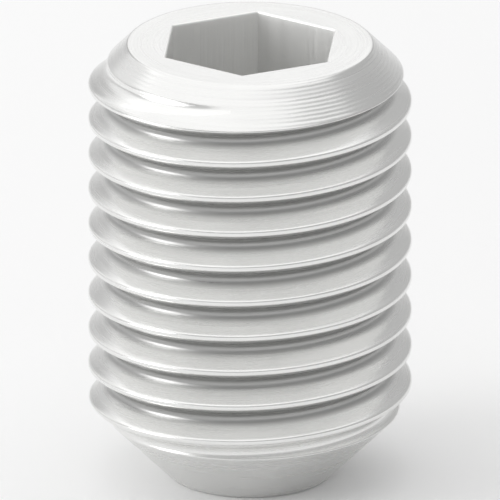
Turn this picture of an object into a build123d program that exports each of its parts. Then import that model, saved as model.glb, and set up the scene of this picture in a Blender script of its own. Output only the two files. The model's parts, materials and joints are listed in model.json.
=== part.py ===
from build123d import *
import os
from math import radians, tan

# Hexagon socket set screw: one turned and threaded piece of steel that stands on its flat point.
# The origin is the centre of the point's flat face, and +Z runs up the axis to the socket.
# Lengths are in millimetres and angles in degrees.

# Body
thread_diameter = 11.11  # over the thread's crests, 7/16 inch
screw_length = 15.6  # from the point's flat face to the socket end
end_chamfer = 1.33  # at the socket end, along the radius
end_chamfer_angle = 45.0  # from the axis

# Flat point
point_diameter = 5.58
point_taper_angle = 45.0  # from the axis

# Thread, right-hand, with a profile that follows from its pitch
thread_pitch = 1.27  # 20 threads to the inch
thread_angle = 60.0  # between the two flanks of the groove
crest_width_share = 1 / 8  # of the pitch
root_width_share = 1 / 4  # of the pitch
groove_lead_share = 0.89  # of the pitch, that the groove starts ahead of the screw and runs on past it

# Hexagon socket
key_width = 5.56  # across the flats, 7/32 inch
socket_depth = 6.5  # of the straight flats
socket_drill_diameter = 5.2
socket_drill_angle = 120.0  # of the drilled cone below the flats
hexagon_sides = 6
corner_to_y_turn = 30.0  # brings two of the hexagon's corners onto the Y axis

# The cuts reach this far past the surfaces that they open
cut_overrun = 0.05

# Turned outline: the two tapers are carried on just past the thread's crests
thread_radius = thread_diameter / 2
point_radius = point_diameter / 2
end_face_radius = thread_radius - end_chamfer
outline_radius = thread_radius + cut_overrun
outline_taper_top = (outline_radius - point_radius) / tan(radians(point_taper_angle))
outline_chamfer_drop = (outline_radius - end_face_radius) / tan(radians(end_chamfer_angle))

# Thread groove: a V with a flat bottom, and a narrow crest left between its turns
flank_slope = tan(radians(thread_angle / 2))
root_half_width = thread_pitch * root_width_share / 2
mouth_half_width = thread_pitch * (1 - crest_width_share) / 2
root_radius = thread_radius - (mouth_half_width - root_half_width) / flank_slope
groove_outer_radius = thread_radius + cut_overrun
groove_outer_half_width = mouth_half_width + cut_overrun * flank_slope
groove_lead = groove_lead_share * thread_pitch
bar_spare = groove_lead + thread_pitch  # left on the bar at each end, so that the groove ends inside it

# Socket floor
drill_radius = socket_drill_diameter / 2
drill_point_height = drill_radius / tan(radians(socket_drill_angle / 2))

os.makedirs("parts", exist_ok=True)

with BuildPart() as set_screw:
    # Bar as wide as the thread and longer than the screw
    with BuildSketch(Plane.YZ):
        with Locations((0, -bar_spare)):
            Rectangle(
                thread_radius,
                screw_length + 2 * bar_spare,
                align=(Align.MIN, Align.MIN),
            )
    revolve(axis=Axis.Z)

    # Helical groove, which begins and ends in the spare length of the bar
    with BuildLine() as groove_path:
        Helix(
            pitch=thread_pitch,
            height=screw_length + 2 * groove_lead,
            radius=thread_radius,
            center=(0, 0, -groove_lead),
        )
    with BuildSketch(Plane.XZ):
        with BuildLine():
            Polyline(
                (groove_outer_radius, -groove_lead - groove_outer_half_width),
                (root_radius, -groove_lead - root_half_width),
                (root_radius, -groove_lead + root_half_width),
                (groove_outer_radius, -groove_lead + groove_outer_half_width),
                close=True,
            )
        make_face()
    sweep(path=groove_path.line, is_frenet=True, mode=Mode.SUBTRACT)

    # Flat point, its taper, the end chamfer and the end face, turned on the threaded bar
    with BuildSketch(Plane.YZ):
        with BuildLine():
            Polyline(
                (0, 0),
                (point_radius, 0),
                (outline_radius, outline_taper_top),
                (outline_radius, screw_length - outline_chamfer_drop),
                (end_face_radius, screw_length),
                (0, screw_length),
                close=True,
            )
        make_face()
    revolve(axis=Axis.Z, mode=Mode.INTERSECT)

    # Hexagon socket with a drilled floor
    with BuildSketch(Plane.XY.offset(screw_length)):
        RegularPolygon(
            radius=key_width / 2,
            side_count=hexagon_sides,
            major_radius=False,
            rotation=corner_to_y_turn,
        )
    extrude(amount=-socket_depth, mode=Mode.SUBTRACT)
    with Locations((0, 0, screw_length - socket_depth)):
        Cone(
            bottom_radius=0,
            top_radius=drill_radius,
            height=drill_point_height,
            align=(Align.CENTER, Align.CENTER, Align.MAX),
            mode=Mode.SUBTRACT,
        )

set_screw.part.label = "set_screw"
export_step(set_screw.part, "parts/set_screw.step")
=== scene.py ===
"""Grub set screw in satin steel: helical thread, hexagon socket and flat point, in a plain studio."""

import json
import math
from typing import NamedTuple

import bmesh
import bpy
from bpy.props import FloatProperty, FloatVectorProperty, PointerProperty
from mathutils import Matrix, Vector


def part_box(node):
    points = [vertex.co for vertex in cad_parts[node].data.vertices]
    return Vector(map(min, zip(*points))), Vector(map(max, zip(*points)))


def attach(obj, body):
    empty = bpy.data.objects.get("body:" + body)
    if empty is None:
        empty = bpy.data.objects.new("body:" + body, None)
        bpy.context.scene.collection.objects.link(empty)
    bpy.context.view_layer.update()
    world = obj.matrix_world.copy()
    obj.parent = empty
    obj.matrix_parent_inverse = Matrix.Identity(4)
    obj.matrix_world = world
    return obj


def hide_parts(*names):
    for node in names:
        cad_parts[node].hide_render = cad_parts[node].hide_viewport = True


bl_info = {
    "name": "Grub Set Screw",
    "version": (1, 0, 0),
    "blender": (4, 5, 0),
    "location": "3D View > Sidebar > Set Screw",
    "description": "Builds a threaded set screw with a hexagon socket and the studio that shows it",
    "category": "Add Mesh",
}

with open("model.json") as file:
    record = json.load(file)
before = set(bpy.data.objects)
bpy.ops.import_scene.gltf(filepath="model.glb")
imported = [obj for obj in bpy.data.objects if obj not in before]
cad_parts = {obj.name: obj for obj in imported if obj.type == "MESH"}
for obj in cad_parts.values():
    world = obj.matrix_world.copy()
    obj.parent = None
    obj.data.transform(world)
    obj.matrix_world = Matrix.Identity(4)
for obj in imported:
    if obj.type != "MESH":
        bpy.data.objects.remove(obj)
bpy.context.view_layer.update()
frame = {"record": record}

MOUNTS = {mount["name"]: mount for mount in frame["record"]["mounts"]}
STEEL_SLOT = frame["record"]["materials"][0]
SCREW_LOW, SCREW_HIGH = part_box("set_screw")

MILLIMETRE = 0.001
MICROMETRE = 0.000001
WHITE = (1.0, 1.0, 1.0, 1.0)
NODE_SPACING = 220

# Mesh
HEXAGON_SIDES = 6
# Columns round the axis, a whole number to each half side of the hexagon
COLUMNS = 120
# Rows of the thread to each pitch
ROWS_PER_PITCH = 64
# Steps in which a corner is rounded
CORNER_STEPS = 5
# Where rings lie along the straight runs of the outline, as shares of each run
TAPER_SHARES = (0.35, 0.7, 0.95)
POINT_FACE_SHARES = (0.02, 0.3, 0.6, 0.85)
CHAMFER_SHARES = (0.5, 0.95)
SOCKET_WALL_SHARES = (0.03, 0.3, 0.6, 0.9, 1.0)
# Where rings lie on the end face and the drilled cone, as shares of the way out to their rims
END_FACE_SHARES = (0.98, 0.7, 0.4, 0.15, 0.02)
DRILLED_CONE_SHARES = (1.0, 0.97, 0.6, 0.3, 0.1)

# Steel
# Finishes, in the order of the screw's material slots
ROLLED, TURNED, BROACHED = range(3)
# From this openness up, the steel has its painted open tone and its polish
OPEN_FROM = 0.35
# Darkest and lightest tone of the uneven colour, and the noise between them
STEEL_TONES = (0.95, 1.06)
STEEL_CLOUDS = {"Scale": 420.0, "Detail": 3.0}
# Noise of the streaks, before the marks stretch it
STREAK_NOISE = {"Scale": 1.0, "Detail": 5.0, "Roughness": 0.6}
# Part of the streaks' noise that the roughness follows, and what it adds there
STREAK_SPAN = (0.25, 0.75)
STREAK_ROUGHNESS = (-0.02, 0.12)
# How much smoother the steel is where it is open
OPEN_POLISH = 0.07
# Length of one wave of Blender's wave texture at a scale of 1
WAVE_PERIOD = 2 * math.pi / 20
# Unevenness of the feed's lines
FEED_WOBBLE = {"Distortion": 0.8, "Detail": 1.0, "Detail Scale": 0.4}

# Studio
# Watts to each square metre of an area lamp that adds a brightness of 1 to what is behind it
PANEL_POWER = math.pi
# Distances, in lengths of the screw
FLOOR_REACH = 40
PANEL_DISTANCE = 24
CAMERA_DISTANCE = 12
# Cells along each side of the floor's grid
FLOOR_CELLS = 60
# Share of the floor's reach within which it is flat
FLOOR_FLAT_SHARE = 0.6
# Darkest and lightest tone of the floor, and the noise between them
FLOOR_TONES = (0.99, 1.0)
FLOOR_MOTTLE = {"Scale": 60.0, "Detail": 3.0}


class ScrewShape(bpy.types.PropertyGroup):
    """Sizes of the screw."""

    diameter: FloatProperty(
        name="Thread diameter",
        description="Over the thread's crests",
        default=2 * MOUNTS["thread"]["dims"]["r_mm"] * MILLIMETRE,
        subtype="DISTANCE",
        unit="LENGTH",
    )
    length: FloatProperty(
        name="Length",
        description="From the point's flat face to the socket end",
        default=SCREW_HIGH.z - SCREW_LOW.z,
        subtype="DISTANCE",
        unit="LENGTH",
    )
    pitch: FloatProperty(
        name="Pitch",
        description="Rise of the right-hand thread in one turn",
        default=1.27 * MILLIMETRE,
        subtype="DISTANCE",
        unit="LENGTH",
    )
    thread_start_share: FloatProperty(
        name="Thread start",
        description="Share of the pitch by which the groove starts below the point's face, at +X",
        default=0.89,
        subtype="FACTOR",
    )
    thread_angle: FloatProperty(
        name="Thread angle",
        description="Between the two flanks of the groove",
        default=math.radians(60),
        subtype="ANGLE",
    )
    crest_share: FloatProperty(
        name="Crest",
        description="Share of the pitch that the crest takes",
        default=1 / 8,
        subtype="FACTOR",
    )
    root_share: FloatProperty(
        name="Root",
        description="Share of the pitch that the groove's bottom takes",
        default=1 / 4,
        subtype="FACTOR",
    )
    end_chamfer: FloatProperty(
        name="End chamfer",
        description="At the socket end, along the radius",
        default=1.33 * MILLIMETRE,
        subtype="DISTANCE",
        unit="LENGTH",
    )
    taper_angle: FloatProperty(
        name="Taper angle",
        description="Of the end chamfer and the point, from the axis",
        default=math.radians(45),
        subtype="ANGLE",
    )
    point_diameter: FloatProperty(
        name="Point diameter",
        description="Of the point's flat face",
        default=5.58 * MILLIMETRE,
        subtype="DISTANCE",
        unit="LENGTH",
    )
    key_width: FloatProperty(
        name="Key width",
        description="Across the flats of the socket",
        default=5.56 * MILLIMETRE,
        subtype="DISTANCE",
        unit="LENGTH",
    )
    socket_depth: FloatProperty(
        name="Socket depth",
        description="Of the socket's straight flats",
        default=MOUNTS["hex_socket"]["dims"]["length_mm"] * MILLIMETRE,
        subtype="DISTANCE",
        unit="LENGTH",
    )
    drill_diameter: FloatProperty(
        name="Drill diameter",
        description="Of the drilled cone in the socket's floor",
        default=5.2 * MILLIMETRE,
        subtype="DISTANCE",
        unit="LENGTH",
    )
    drill_angle: FloatProperty(
        name="Drill angle",
        description="Of the drilled cone in the socket's floor",
        default=math.radians(120),
        subtype="ANGLE",
    )
    edge_break: FloatProperty(
        name="Edge break",
        description="Width over which the turned and broached edges are rounded",
        default=0.07 * MILLIMETRE,
        subtype="DISTANCE",
        unit="LENGTH",
    )
    crest_rounding: FloatProperty(
        name="Crest rounding",
        description="Depth over which a crest runs into its flanks",
        default=0.08 * MILLIMETRE,
        subtype="DISTANCE",
        unit="LENGTH",
    )
    root_rounding: FloatProperty(
        name="Root rounding",
        description="Depth over which a flank runs into the groove's bottom",
        default=0.26 * MILLIMETRE,
        subtype="DISTANCE",
        unit="LENGTH",
    )


class SteelFinish(bpy.types.PropertyGroup):
    """Colour and gloss of the steel."""

    colour: FloatVectorProperty(
        name="Steel",
        description="Colour of the bare steel",
        default=STEEL_SLOT["base_color"][:3],
        subtype="COLOR",
        size=3,
    )
    roughness: FloatProperty(
        name="Roughness",
        description="Mean roughness of the satin surface",
        default=0.27,
        subtype="FACTOR",
    )
    grain: FloatProperty(
        name="Grain",
        description="How far the gloss is drawn out across the tool marks",
        default=0.35,
        subtype="FACTOR",
    )
    feed: FloatProperty(
        name="Turning feed",
        description="Distance between the lines that the turning tool leaves",
        default=0.11 * MILLIMETRE,
        subtype="DISTANCE",
        unit="LENGTH",
    )


class StudioSetup(bpy.types.PropertyGroup):
    """Floor, light and view."""

    floor_colour: FloatVectorProperty(
        name="Floor",
        description="Colour of the floor",
        default=(0.99, 0.99, 0.99),
        subtype="COLOR",
        size=3,
    )
    world_level: FloatProperty(
        name="Surroundings",
        description="Brightness of the plain grey surroundings",
        default=0.525,
    )
    panel_level: FloatProperty(
        name="Panels",
        description="Brightness of the light panels, all together",
        default=1.0,
    )
    view_azimuth: FloatProperty(
        name="Azimuth",
        description="Where the camera stands, turned from -Y towards +X",
        default=math.radians(4.75),
        subtype="ANGLE",
    )
    view_elevation: FloatProperty(
        name="Elevation",
        description="How far the camera looks down",
        default=math.radians(20),
        subtype="ANGLE",
    )
    view_width: FloatProperty(
        name="View width",
        description="Width that the camera takes in",
        default=17.17 * MILLIMETRE,
        subtype="DISTANCE",
        unit="LENGTH",
    )
    view_height: FloatProperty(
        name="View height",
        description="Height on the axis that the camera looks at",
        default=8.05 * MILLIMETRE,
        subtype="DISTANCE",
        unit="LENGTH",
    )


def smooth_min(first, second, width):
    """The smaller of two lengths, rounded off where they differ by less than width."""
    share = max(width - abs(first - second), 0.0) / width
    return min(first, second) - share * share * width / 4


def smooth_max(first, second, width):
    """The larger of two lengths, rounded off where they differ by less than width."""
    return -smooth_min(-first, -second, width)


def rounded_corner(before, corner, after, reach):
    """Points that round the corner between two straight runs, from reach before it to reach after it."""
    start = corner + (before - corner).normalized() * reach
    end = corner + (after - corner).normalized() * reach
    points = []
    for step in range(CORNER_STEPS + 1):
        share = step / CORNER_STEPS
        points.append(start.lerp(corner, share).lerp(corner.lerp(end, share), share))
    return points


def hexagon_radius(apothem, angle):
    """Distance from the axis to a hexagon whose flats face +X and every sixth of a turn from there."""
    side_turn = 2 * math.pi / HEXAGON_SIDES
    from_flat = (angle + side_turn / 2) % side_turn - side_turn / 2
    return apothem / math.cos(from_flat)


class ScrewSizes:
    """The screw's sizes in metres and the profiles that follow from them."""

    def __init__(self, shape):
        self.shape = shape
        self.length = shape.length
        self.pitch = shape.pitch
        self.thread_start = -shape.thread_start_share * shape.pitch
        self.crest_radius = shape.diameter / 2
        self.point_radius = shape.point_diameter / 2
        self.end_radius = self.crest_radius - shape.end_chamfer
        self.flank_slope = math.tan(shape.thread_angle / 2)
        self.root_half_width = shape.pitch * shape.root_share / 2
        mouth_half_width = shape.pitch * (1 - shape.crest_share) / 2
        self.root_radius = self.crest_radius - (mouth_half_width - self.root_half_width) / self.flank_slope
        self.taper_slope = math.tan(shape.taper_angle)
        self.drill_radius = shape.drill_diameter / 2
        self.drill_drop = self.drill_radius / math.tan(shape.drill_angle / 2)

    def thread_radius(self, turns):
        """Radius of the thread where the groove's middle is that many turns of the thread away."""
        from_groove = abs(turns - round(turns)) * self.pitch
        flank = self.root_radius + (from_groove - self.root_half_width) / self.flank_slope
        crested = smooth_min(flank, self.crest_radius, self.shape.crest_rounding)
        return smooth_max(crested, self.root_radius, self.shape.root_rounding)

    def turned_radius(self, height):
        """Radius of the point's taper and the end chamfer at a height."""
        taper = self.point_radius + height * self.taper_slope
        chamfer = self.end_radius + (self.length - height) * self.taper_slope
        return min(taper, chamfer)

    def outer_radius(self, turns, height):
        """Radius of the threaded and turned outside."""
        return smooth_min(self.thread_radius(turns), self.turned_radius(height), self.shape.edge_break)

    def thread_span(self):
        """Heights between which the groove cuts into the tapers."""
        clear_radius = self.root_radius - self.shape.edge_break
        low = (clear_radius - self.point_radius) / self.taper_slope
        high = self.length - (clear_radius - self.end_radius) / self.taper_slope
        return low, high

    def groove_openness(self, radius, height):
        """1 on the crests and tapers, and 0 at the groove's bottom."""
        outside = min(self.crest_radius, self.turned_radius(height))
        return 1 - (outside - radius) / (self.crest_radius - self.root_radius)

    def socket_openness(self, height):
        """1 at the end face, and 0 at the tip of the drilled cone."""
        return 1 - (self.length - height) / (self.shape.socket_depth + self.drill_drop)


class ScrewMesh:
    """One closed mesh, made of rings round the axis and the helical grid of the thread."""

    def __init__(self, sizes):
        self.sizes = sizes
        self.mesh = bmesh.new()
        self.marks = self.mesh.loops.layers.uv.new("marks")
        # Openness also sets where painted light and painted shade lie in the steel's colour
        self.openness = self.mesh.verts.layers.float.new("openness")

    def vertex(self, column, radius, height, openness=1.0):
        """A vertex in a column. Openness is 1 outside and 0 at the bottom of a groove or the socket."""
        angle = 2 * math.pi * column / COLUMNS
        made = self.mesh.verts.new((radius * math.cos(angle), radius * math.sin(angle), height))
        made[self.openness] = openness
        return made

    def ring(self, radius, height, openness=1.0):
        """A round ring of vertices."""
        return [self.vertex(column, radius, height, openness) for column in range(COLUMNS)]

    def hexagon_ring(self, apothem, height, round_radius=0.0, round_share=0.0):
        """A ring on a hexagon, drawn towards a circle by round_share."""
        openness = self.sizes.socket_openness(height)
        vertices = []
        for column in range(COLUMNS):
            radius = hexagon_radius(apothem, 2 * math.pi * column / COLUMNS)
            radius += (round_radius - radius) * round_share
            vertices.append(self.vertex(column, radius, height, openness))
        return vertices

    def face(self, corners, finish):
        """A face through (vertex, mark coordinates) corners; corners that share a vertex count once."""
        kept = []
        for vertex, mark in corners:
            if all(vertex is not other for other, _ in kept):
                kept.append((vertex, mark))
        if len(kept) < 3:
            return
        made = self.mesh.faces.new([vertex for vertex, _ in kept])
        made.material_index = finish
        made.smooth = True
        for loop, (_, mark) in zip(made.loops, kept):
            loop[self.marks].uv = mark

    def mark(self, vertex, column, finish):
        """Mark coordinates in millimetres: along the tool's path, and across it."""
        place = vertex.co / MILLIMETRE
        around = 2 * math.pi * self.sizes.crest_radius / MILLIMETRE * column / COLUMNS
        if finish == BROACHED:
            return place.z, around
        return around, place.xy.length

    def bridge(self, lower, upper, finish):
        """Faces between two rings."""
        for column in range(COLUMNS):
            beside = (column + 1) % COLUMNS
            corners = []
            for ring, index, place in (
                (lower, column, column),
                (lower, beside, column + 1),
                (upper, beside, column + 1),
                (upper, column, column),
            ):
                corners.append((ring[index], self.mark(ring[index], place, finish)))
            self.face(corners, finish)

    def chain(self, rings, finish):
        """Faces along a row of rings."""
        for lower, upper in zip(rings, rings[1:]):
            self.bridge(lower, upper, finish)

    def cap(self, ring, height, finish, openness=1.0):
        """Faces from a ring to a point on the axis."""
        centre = self.vertex(0, 0.0, height, openness)
        for column in range(COLUMNS):
            beside = (column + 1) % COLUMNS
            corners = [
                (ring[column], self.mark(ring[column], column, finish)),
                (ring[beside], self.mark(ring[beside], column + 1, finish)),
                (centre, self.mark(centre, column, finish)),
            ]
            self.face(corners, finish)

    def crease(self, vertices):
        """Keeps the edges along a run of vertices sharp."""
        for first, second in zip(vertices, vertices[1:]):
            edge = self.mesh.edges.get((first, second))
            edge.smooth = False

    def thread(self):
        """The helical grid between two level rings, which it returns. A row runs along the thread."""
        sizes = self.sizes
        low, high = sizes.thread_span()
        row_rise = sizes.pitch / ROWS_PER_PITCH
        low_ring = self.ring(sizes.turned_radius(low), low)
        high_ring = self.ring(sizes.turned_radius(high), high)
        first_row = math.floor((low - sizes.thread_start) / row_rise) - ROWS_PER_PITCH
        last_row = math.ceil((high - sizes.thread_start) / row_rise)
        grid = {}
        for row in range(first_row, last_row + 1):
            for column in range(COLUMNS):
                height = sizes.thread_start + row * row_rise + sizes.pitch * column / COLUMNS
                if height < low + row_rise / 2:
                    grid[row, column] = low_ring[column]
                elif height > high - row_rise / 2:
                    grid[row, column] = high_ring[column]
                else:
                    radius = sizes.outer_radius(row / ROWS_PER_PITCH, height)
                    openness = sizes.groove_openness(radius, height)
                    grid[row, column] = self.vertex(column, radius, height, openness)
        # The end of each row is the start of the row one pitch up
        for row in range(first_row, last_row + 1):
            grid[row, COLUMNS] = grid.get((row + ROWS_PER_PITCH, 0), high_ring[0])
        for row in range(first_row, last_row):
            for column in range(COLUMNS):
                self.thread_face(grid, row, column)
        return low_ring, high_ring

    def thread_face(self, grid, row, column):
        """One face of the helical grid, rolled or turned by what shaped it."""
        sizes = self.sizes
        turn, strip_row = divmod(row, ROWS_PER_PITCH)
        around = 2 * math.pi * sizes.crest_radius / MILLIMETRE
        row_width = sizes.pitch / MILLIMETRE / ROWS_PER_PITCH
        corners = []
        for row_step, column_step in ((0, 0), (0, 1), (1, 1), (1, 0)):
            vertex = grid[row + row_step, column + column_step]
            along = around * (turn + (column + column_step) / COLUMNS)
            corners.append((vertex, (along, row_width * (strip_row + row_step))))
        height = sum(vertex.co.z for vertex, _ in corners) / len(corners)
        turned = sizes.turned_radius(height) < sizes.thread_radius((row + 0.5) / ROWS_PER_PITCH)
        if turned:
            corners = [
                (vertex, (mark[0], vertex.co.xy.length / MILLIMETRE)) for vertex, mark in corners
            ]
        self.face(corners, TURNED if turned else ROLLED)

    def point(self, low_ring):
        """The plain end of the taper and the flat point, from the thread down."""
        sizes = self.sizes
        top = Vector((sizes.turned_radius(low_ring[0].co.z), low_ring[0].co.z))
        corner = Vector((sizes.point_radius, 0.0))
        centre = Vector((0.0, 0.0))
        edge = rounded_corner(top, corner, centre, sizes.shape.edge_break)
        places = [top.lerp(edge[0], share) for share in TAPER_SHARES]
        places += edge
        places += [edge[-1].lerp(centre, share) for share in POINT_FACE_SHARES]
        rings = [low_ring] + [self.ring(place.x, place.y) for place in places]
        self.chain(rings, TURNED)
        self.cap(rings[-1], 0.0, TURNED)

    def socket_end(self, high_ring):
        """The plain end of the chamfer, the end face and the socket, from the thread up and then down."""
        sizes = self.sizes
        shape = sizes.shape
        apothem = shape.key_width / 2
        start = Vector((sizes.turned_radius(high_ring[0].co.z), high_ring[0].co.z))
        rim = Vector((sizes.end_radius, sizes.length))
        mouth = Vector((apothem, sizes.length))
        floor = Vector((apothem, sizes.length - shape.socket_depth))
        outer_edge = rounded_corner(start, rim, mouth, shape.edge_break)
        inner_edge = rounded_corner(rim, mouth, floor, shape.edge_break)
        places = [start.lerp(outer_edge[0], share) for share in CHAMFER_SHARES]
        places += outer_edge
        rings = [high_ring] + [self.ring(place.x, place.y) for place in places]
        for share in END_FACE_SHARES:
            rings.append(self.hexagon_ring(inner_edge[0].x, sizes.length, outer_edge[-1].x, share))
        rings.append(self.hexagon_ring(inner_edge[0].x, sizes.length))
        self.chain(rings, TURNED)
        self.socket(rings[-1], inner_edge, floor)

    def socket(self, mouth_ring, edge, floor):
        """The broached walls from the end face down, and the drilled floor below them."""
        places = edge[1:] + [edge[-1].lerp(floor, share) for share in SOCKET_WALL_SHARES]
        walls = [mouth_ring] + [self.hexagon_ring(place.x, place.y) for place in places]
        self.chain(walls, BROACHED)
        for side in range(HEXAGON_SIDES):
            corner_column = (2 * side + 1) * COLUMNS // (2 * HEXAGON_SIDES)
            self.crease([ring[corner_column] for ring in walls])
        self.drilled_floor(walls[-1])

    def drilled_floor(self, wall_ring):
        """The narrow ledge under the socket's flats and the drilled cone."""
        sizes = self.sizes
        top = wall_ring[0].co.z
        rings = []
        for share in DRILLED_CONE_SHARES:
            height = top - sizes.drill_drop * (1 - share)
            rings.append(self.ring(sizes.drill_radius * share, height, sizes.socket_openness(height)))
        self.chain([wall_ring] + rings, TURNED)
        self.cap(rings[-1], top - sizes.drill_drop, TURNED, openness=0.0)
        self.crease(wall_ring + wall_ring[:1])
        self.crease(rings[0] + rings[0][:1])

    def to_object(self, name, materials):
        """The finished mesh as an object with its materials."""
        bmesh.ops.recalc_face_normals(self.mesh, faces=self.mesh.faces)
        data = bpy.data.meshes.new(name)
        self.mesh.to_mesh(data)
        self.mesh.free()
        for material in materials:
            data.materials.append(material)
        piece = bpy.data.objects.new(name, data)
        bpy.context.scene.collection.objects.link(piece)
        return piece


class NodeSketch:
    """Short calls for laying out a material's nodes from left to right."""

    def __init__(self, material):
        material.use_nodes = True
        self.tree = material.node_tree
        self.tree.nodes.clear()
        self.placed = 0

    def add(self, kind, inputs=None, **settings):
        """A node with its settings, its input values and its links."""
        node = self.tree.nodes.new(kind)
        node.location = (self.placed * NODE_SPACING, 0)
        self.placed += 1
        for setting, value in settings.items():
            setattr(node, setting, value)
        for socket, value in (inputs or {}).items():
            if isinstance(value, bpy.types.NodeSocket):
                self.tree.links.new(value, node.inputs[socket])
            else:
                node.inputs[socket].default_value = value
        return node


def shaded(colour, tone):
    """A colour made darker or lighter by tone, as a socket takes it."""
    return (*[min(channel * tone, 1.0) for channel in colour], 1.0)


def mixed_colour(sketch, factor, first, second):
    """A colour that runs from the first to the second as factor goes from 0 to 1."""
    mix = sketch.add("ShaderNodeMix", {"Factor": factor, "A": first, "B": second}, data_type="RGBA")
    return mix.outputs["Result"]


def uneven_colour(sketch, colour, tones, noise):
    """A colour that wavers between two of its tones."""
    place = sketch.add("ShaderNodeTexCoord")
    clouds = sketch.add("ShaderNodeTexNoise", {"Vector": place.outputs["Object"], **noise})
    darkest, lightest = tones
    return mixed_colour(sketch, clouds.outputs["Fac"], shaded(colour, darkest), shaded(colour, lightest))


class ToolMarks(NamedTuple):
    """What a tool left on a face, with the painted light and shade laid on the steel's colour there."""

    # Streaks to the millimetre, along the tool's path and across it
    streaks_along: float
    streaks_across: float
    # Heights in micrometres, of the streaks and of the feed's lines
    streak_height: float
    feed_height: float = 0.0
    # How far the grain is turned from the way round the axis, as a share of a full turn
    grain_turn: float = 0.0
    # How much rougher the face is than the rest of the steel
    roughness_shift: float = 0.0
    # Painted light and shade: tones by which the steel's colour is lightened or darkened where it is open,
    # and at the bottom of a groove or the socket
    painted_open_tone: float = 1.0
    painted_recess_tone: float = 1.0


ROLLED_MARKS = ToolMarks(
    streaks_along=0.15,
    streaks_across=7.0,
    streak_height=4.0,
    # Painted light on the thread's open steel, and painted shade at the bottom of its groove
    painted_open_tone=1.06,
    painted_recess_tone=0.5,
)
TURNED_MARKS = ToolMarks(
    streaks_along=0.05,
    streaks_across=6.0,
    streak_height=2.0,
    feed_height=1.8,
    # Painted shade on the socket's drilled floor, where the steel is least open
    painted_recess_tone=0.95,
)
BROACHED_MARKS = ToolMarks(
    streaks_along=0.15,
    streaks_across=3.0,
    streak_height=9.0,
    grain_turn=0.25,
    roughness_shift=0.22,
    # Painted light over the whole socket, lighter than the rest of the steel
    painted_open_tone=1.18,
    painted_recess_tone=1.18,
)


def tool_streaks(sketch, places, marks):
    """Noise drawn out along the tool's path."""
    stretched = sketch.add(
        "ShaderNodeMapping",
        {"Vector": places, "Scale": (marks.streaks_along, marks.streaks_across, 1.0)},
    )
    streaks = sketch.add(
        "ShaderNodeTexNoise",
        {"Vector": stretched.outputs["Vector"], **STREAK_NOISE},
        noise_dimensions="2D",
    )
    return streaks.outputs["Fac"]


def mark_heights(sketch, finish, marks, places, streaks):
    """Heights in micrometres, of the streaks and of the feed's lines where the tool left them."""
    heights = sketch.add("ShaderNodeMath", {0: streaks, 1: marks.streak_height}, operation="MULTIPLY")
    if not marks.feed_height:
        return heights.outputs["Value"]
    feed_lines = sketch.add(
        "ShaderNodeTexWave",
        {"Vector": places, "Scale": WAVE_PERIOD * MILLIMETRE / finish.feed, **FEED_WOBBLE},
        bands_direction="Y",
    )
    both_heights = sketch.add(
        "ShaderNodeMath",
        {0: feed_lines.outputs["Fac"], 1: marks.feed_height, 2: heights.outputs["Value"]},
        operation="MULTIPLY_ADD",
    )
    return both_heights.outputs["Value"]


def openness_share(sketch):
    """1 where the steel is open, and down to 0 at the bottom of a groove or the socket."""
    openness = sketch.add("ShaderNodeAttribute", attribute_name="openness")
    share = sketch.add(
        "ShaderNodeMapRange",
        {"Value": openness.outputs["Fac"], "From Max": OPEN_FROM},
        interpolation_type="SMOOTHSTEP",
    )
    return share.outputs["Result"]


def steel_colour_with_painted_light_and_shade(sketch, finish, marks, open_share):
    """The steel's colour, a little uneven, with painted light and shade: each finish's tone where the
    steel is open, and another towards the bottom of a groove or the socket.
    """
    tones = [tone * marks.painted_open_tone for tone in STEEL_TONES]
    open_colour_with_painted_light = uneven_colour(sketch, finish.colour, tones, STEEL_CLOUDS)
    return mixed_colour(sketch, open_share, shaded(finish.colour, marks.painted_recess_tone), open_colour_with_painted_light)


def steel_roughness(sketch, finish, marks, streaks, open_share):
    """Roughness that follows the streaks, and is less where the steel is open."""
    mean = finish.roughness + marks.roughness_shift
    streaked = sketch.add(
        "ShaderNodeMapRange",
        {
            "Value": streaks,
            "From Min": STREAK_SPAN[0],
            "From Max": STREAK_SPAN[1],
            "To Min": mean + STREAK_ROUGHNESS[0],
            "To Max": mean + STREAK_ROUGHNESS[1],
        },
    )
    polished = sketch.add(
        "ShaderNodeMath",
        {0: open_share, 1: -OPEN_POLISH, 2: streaked.outputs["Result"]},
        operation="MULTIPLY_ADD",
    )
    return polished.outputs["Value"]


def steel_material(name, finish, marks):
    """Satin steel with a tool's marks, and painted light and shade in its colour."""
    material = bpy.data.materials.new(name)
    sketch = NodeSketch(material)
    places = sketch.add("ShaderNodeUVMap", uv_map="marks").outputs["UV"]
    streaks = tool_streaks(sketch, places, marks)
    heights = mark_heights(sketch, finish, marks, places, streaks)
    bump = sketch.add("ShaderNodeBump", {"Height": heights, "Strength": 1.0, "Distance": MICROMETRE})
    open_share = openness_share(sketch)
    colour = steel_colour_with_painted_light_and_shade(sketch, finish, marks, open_share)
    roughness = steel_roughness(sketch, finish, marks, streaks, open_share)
    grain = sketch.add("ShaderNodeTangent", direction_type="RADIAL", axis="Z")
    steel = sketch.add(
        "ShaderNodeBsdfPrincipled",
        {
            "Base Color": colour,
            "Metallic": 1.0,
            "Roughness": roughness,
            "Normal": bump.outputs["Normal"],
            "Anisotropic": finish.grain,
            "Anisotropic Rotation": marks.grain_turn,
            "Tangent": grain.outputs["Tangent"],
        },
    )
    sketch.add("ShaderNodeOutputMaterial", {"Surface": steel.outputs["BSDF"]})
    return material


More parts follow.
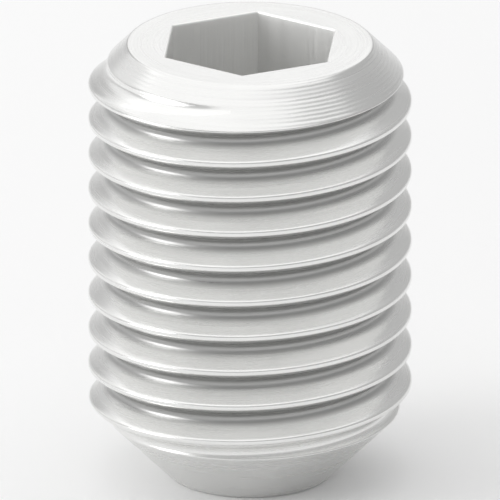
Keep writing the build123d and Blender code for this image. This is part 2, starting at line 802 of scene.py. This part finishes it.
class SETSCREW_OT_make_screw(bpy.types.Operator):
    """Make the screw's mesh and its steel finishes in place of the CAD solid."""

    bl_idname = "set_screw.make_screw"
    bl_label = "Make Screw"

    def execute(self, context):
        sizes = ScrewSizes(context.scene.set_screw_shape)
        finish = context.scene.set_screw_finish
        materials = [
            # The thread's steel carries painted light where it is open and painted shade in its groove
            steel_material("rolled_steel_painted_light_and_shade", finish, ROLLED_MARKS),
            # The turned steel carries painted shade on the socket's drilled floor
            steel_material("turned_steel_painted_shade", finish, TURNED_MARKS),
            # The socket's steel carries painted light all over
            steel_material("broached_steel_painted_light", finish, BROACHED_MARKS),
        ]
        builder = ScrewMesh(sizes)
        low_ring, high_ring = builder.thread()
        builder.point(low_ring)
        builder.socket_end(high_ring)
        screw = builder.to_object("threaded_screw", materials)
        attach(screw, "root")
        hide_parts("set_screw")
        return {"FINISHED"}


def floor_material(studio):
    """Pale matt paper with a faint mottle."""
    material = bpy.data.materials.new("studio_floor")
    sketch = NodeSketch(material)
    tint = uneven_colour(sketch, studio.floor_colour, FLOOR_TONES, FLOOR_MOTTLE)
    paper = sketch.add("ShaderNodeBsdfDiffuse", {"Color": tint})
    sketch.add("ShaderNodeOutputMaterial", {"Surface": paper.outputs["BSDF"]})
    return material


class LightPanel(NamedTuple):
    """A light panel that faces the screw."""

    name: str
    # Where it stands, in degrees, given as the camera's place is
    azimuth: float
    elevation: float
    # Its size, as shares of its distance
    width_share: float
    height_share: float
    # The brightness that it adds to what is behind it
    level: float


PANELS = (
    LightPanel(
        name="key_panel",
        azimuth=-72.0,
        elevation=19.0,
        width_share=0.5,
        height_share=0.5,
        level=3.8,
    ),
    LightPanel(
        name="back_panel",
        azimuth=184.0,
        elevation=24.0,
        width_share=0.42,
        height_share=0.36,
        level=0.62,
    ),
    LightPanel(
        name="top_panel",
        azimuth=-130.0,
        elevation=78.0,
        width_share=1.7,
        height_share=1.7,
        level=0.66,
    ),
    LightPanel(
        name="side_panel",
        azimuth=-126.0,
        elevation=28.0,
        width_share=0.6,
        height_share=0.5,
        level=0.4,
    ),
)


def direction(azimuth, elevation):
    """Unit vector to a place that is turned from -Y towards +X, and raised."""
    level = math.cos(elevation)
    return Vector((math.sin(azimuth) * level, -math.cos(azimuth) * level, math.sin(elevation)))


class SETSCREW_OT_make_studio(bpy.types.Operator):
    """Make the floor, the light panels, the surroundings and the camera."""

    bl_idname = "set_screw.make_studio"
    bl_label = "Make Studio"

    def execute(self, context):
        scene = context.scene
        studio = scene.set_screw_studio
        length = scene.set_screw_shape.length
        self.make_floor(scene, studio, length * FLOOR_REACH)
        for panel in PANELS:
            self.make_panel(scene, studio, panel, length * PANEL_DISTANCE)
        self.make_world(scene, studio)
        self.make_camera(scene, studio, length * CAMERA_DISTANCE)
        scene.view_settings.view_transform = "Standard"
        return {"FINISHED"}

    def make_floor(self, scene, studio, reach):
        """A flat floor that curves up towards its edges, so that it fills a level view too."""
        mesh = bmesh.new()
        bmesh.ops.create_grid(mesh, x_segments=FLOOR_CELLS, y_segments=FLOOR_CELLS, size=reach)
        for vertex in mesh.verts:
            past_flat = max(vertex.co.length / reach - FLOOR_FLAT_SHARE, 0.0)
            vertex.co.z = reach * past_flat * past_flat
        for face in mesh.faces:
            face.smooth = True
        data = bpy.data.meshes.new("floor")
        mesh.to_mesh(data)
        mesh.free()
        data.materials.append(floor_material(studio))
        floor = bpy.data.objects.new("floor", data)
        scene.collection.objects.link(floor)

    def make_panel(self, scene, studio, panel, distance):
        """An area lamp of the panel's size and brightness."""
        data = bpy.data.lights.new(panel.name, "AREA")
        data.shape = "RECTANGLE"
        data.size = panel.width_share * distance
        data.size_y = panel.height_share * distance
        data.energy = studio.panel_level * panel.level * PANEL_POWER * data.size * data.size_y
        toward = direction(math.radians(panel.azimuth), math.radians(panel.elevation))
        lamp = bpy.data.objects.new(panel.name, data)
        lamp.location = toward * distance
        lamp.rotation_euler = (-toward).to_track_quat("-Z", "Y").to_euler()
        scene.collection.objects.link(lamp)

    def make_world(self, scene, studio):
        """Plain grey surroundings."""
        world = bpy.data.worlds.new("surroundings")
        world.use_nodes = True
        background = world.node_tree.nodes["Background"]
        background.inputs["Color"].default_value = WHITE
        background.inputs["Strength"].default_value = studio.world_level
        scene.world = world

    def make_camera(self, scene, studio, distance):
        """A camera with no perspective."""
        data = bpy.data.cameras.new("camera")
        data.type = "ORTHO"
        data.ortho_scale = studio.view_width
        data.clip_start = MILLIMETRE
        toward = direction(studio.view_azimuth, studio.view_elevation)
        camera = bpy.data.objects.new("camera", data)
        camera.location = Vector((0.0, 0.0, studio.view_height)) + toward * distance
        camera.rotation_euler = (-toward).to_track_quat("-Z", "Y").to_euler()
        scene.collection.objects.link(camera)
        scene.camera = camera


class SETSCREW_PT_sidebar(bpy.types.Panel):
    """Sizes, finish and studio of the set screw."""

    bl_idname = "SETSCREW_PT_sidebar"
    bl_label = "Set Screw"
    bl_space_type = "VIEW_3D"
    bl_region_type = "UI"
    bl_category = "Set Screw"

    def draw(self, context):
        scene = context.scene
        for settings, operator in (
            (scene.set_screw_shape, None),
            (scene.set_screw_finish, SETSCREW_OT_make_screw),
            (scene.set_screw_studio, SETSCREW_OT_make_studio),
        ):
            column = self.layout.column()
            for setting in settings.__annotations__:
                column.prop(settings, setting)
            if operator:
                column.operator(operator.bl_idname)


CLASSES = (
    ScrewShape,
    SteelFinish,
    StudioSetup,
    SETSCREW_OT_make_screw,
    SETSCREW_OT_make_studio,
    SETSCREW_PT_sidebar,
)


def register():
    for each in CLASSES:
        bpy.utils.register_class(each)
    bpy.types.Scene.set_screw_shape = PointerProperty(type=ScrewShape)
    bpy.types.Scene.set_screw_finish = PointerProperty(type=SteelFinish)
    bpy.types.Scene.set_screw_studio = PointerProperty(type=StudioSetup)


def unregister():
    del bpy.types.Scene.set_screw_studio
    del bpy.types.Scene.set_screw_finish
    del bpy.types.Scene.set_screw_shape
    for each in reversed(CLASSES):
        bpy.utils.unregister_class(each)


def main():
    register()
    bpy.ops.set_screw.make_screw()
    bpy.ops.set_screw.make_studio()


if __name__ == "__main__":
    main()
